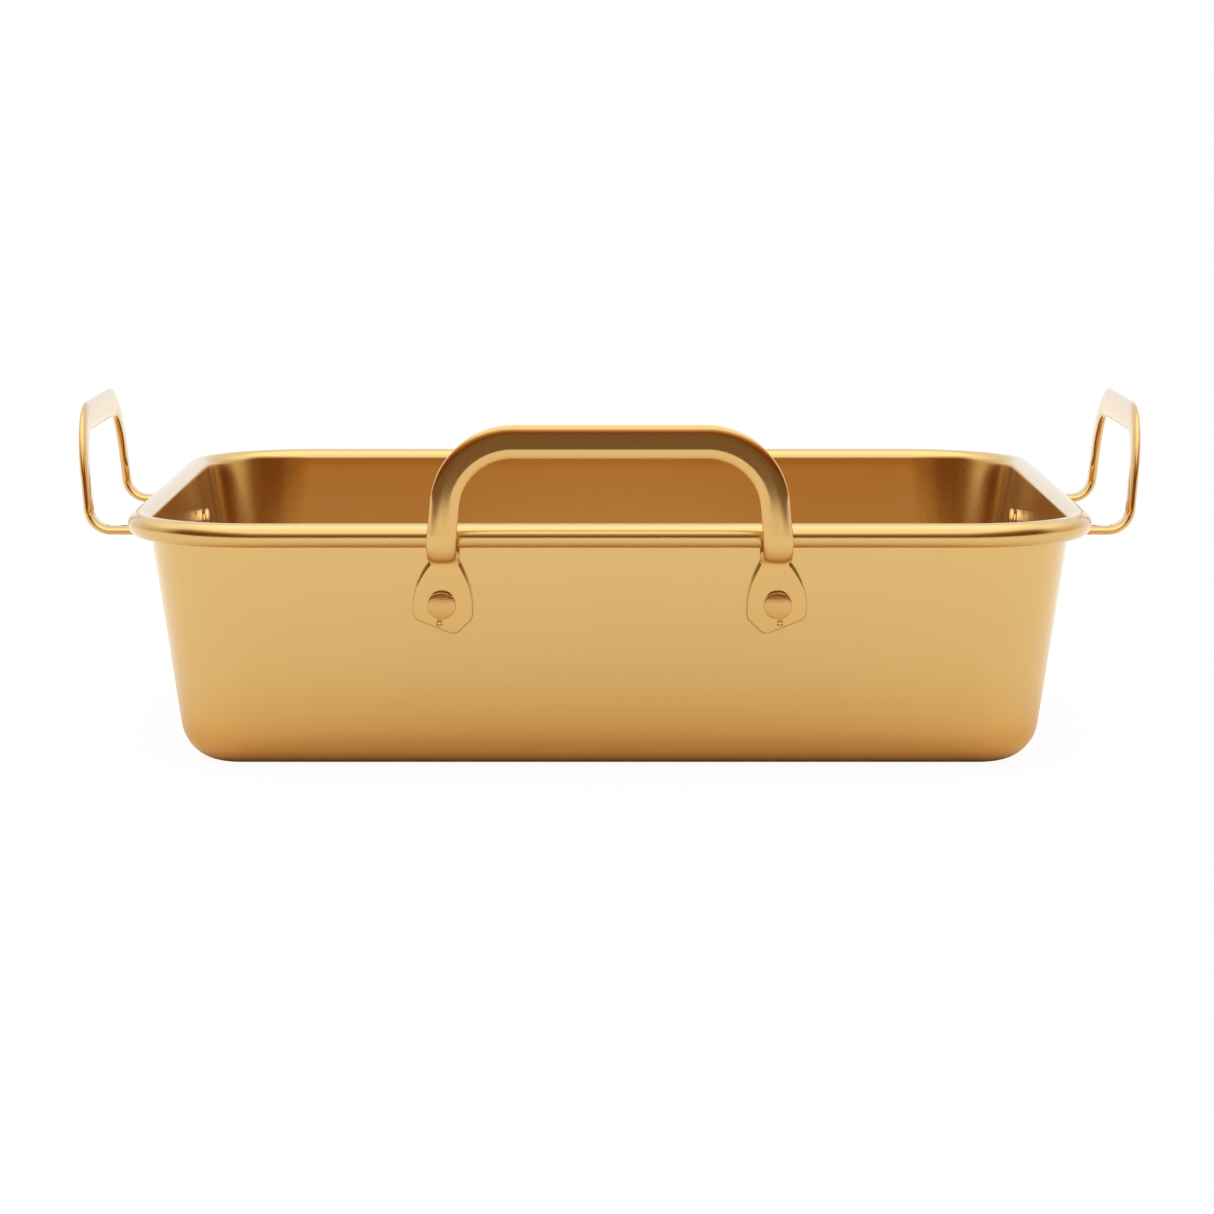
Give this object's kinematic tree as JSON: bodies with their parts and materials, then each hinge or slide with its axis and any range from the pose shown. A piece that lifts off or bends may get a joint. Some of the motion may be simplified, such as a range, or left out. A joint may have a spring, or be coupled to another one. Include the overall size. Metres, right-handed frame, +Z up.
{
  "type": "roasting pan",
  "caption": "Deep rectangular brass pan with a rolled rim and upright loop handles riveted to the front and both short walls.",
  "frame": {"origin": "centre of the flat base, on the surface that the pan stands on", "axes": "+X along the long walls, -Y towards the front handle, +Z up"},
  "size_m": [0.409, 0.332, 0.13],
  "materials": {
    "pan_brass": "satin, fine-blasted drawn sheet with a brighter polished rim",
    "handle_brass": "brushed along the strap, polished edges",
    "rivet_brass": "matt peened heads"
  },
  "bodies": {
    "root": {"pan_body": "pan_brass", "front_handle": "handle_brass", "left_handle": "handle_brass", "right_handle": "handle_brass", "front_handle_rivet_left": "rivet_brass", "front_handle_rivet_right": "rivet_brass", "left_handle_rivet_back": "rivet_brass", "left_handle_rivet_front": "rivet_brass", "right_handle_rivet_front": "rivet_brass", "right_handle_rivet_back": "rivet_brass", "rack_stud_left_back": "rivet_brass", "rack_stud_left_front": "rivet_brass", "rack_stud_right_front": "rivet_brass", "rack_stud_right_back": "rivet_brass"}
  },
  "joints": []
}
